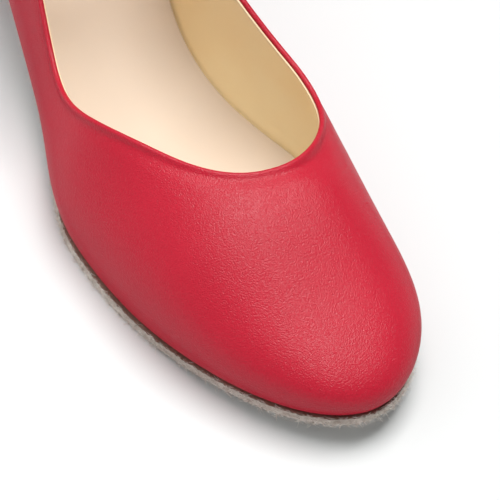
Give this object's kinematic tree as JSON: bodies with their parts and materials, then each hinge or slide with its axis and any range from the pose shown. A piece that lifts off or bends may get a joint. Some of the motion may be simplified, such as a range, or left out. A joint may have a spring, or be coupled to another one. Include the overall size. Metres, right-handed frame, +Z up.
{
  "type": "character shoe",
  "caption": "Low-heeled dance shoe for the right foot with a rounded toe, an open throat and a buckled instep strap.",
  "frame": {"origin": "on the floor, under the middle of the bounding box", "axes": "+X to the toe, +Y to the inner (medial) side of the right foot, +Z up"},
  "size_m": [0.2436, 0.0778, 0.1027],
  "materials": {
    "red_leather": "semi-gloss fine grain",
    "suede": "napped suede, dark at its upper edge",
    "pale_leather": "matte smooth",
    "heel_rubber": "matte",
    "gilt_metal": "polished"
  },
  "bodies": {
    "root": {"upper": "red_leather", "outsole": "suede", "insole": "pale_leather", "heel": "red_leather", "heel_top_piece": "heel_rubber", "strap": "red_leather", "buckle_tab": "red_leather", "buckle": "gilt_metal", "buckle_prong": "gilt_metal", "keeper": "red_leather"}
  },
  "joints": []
}
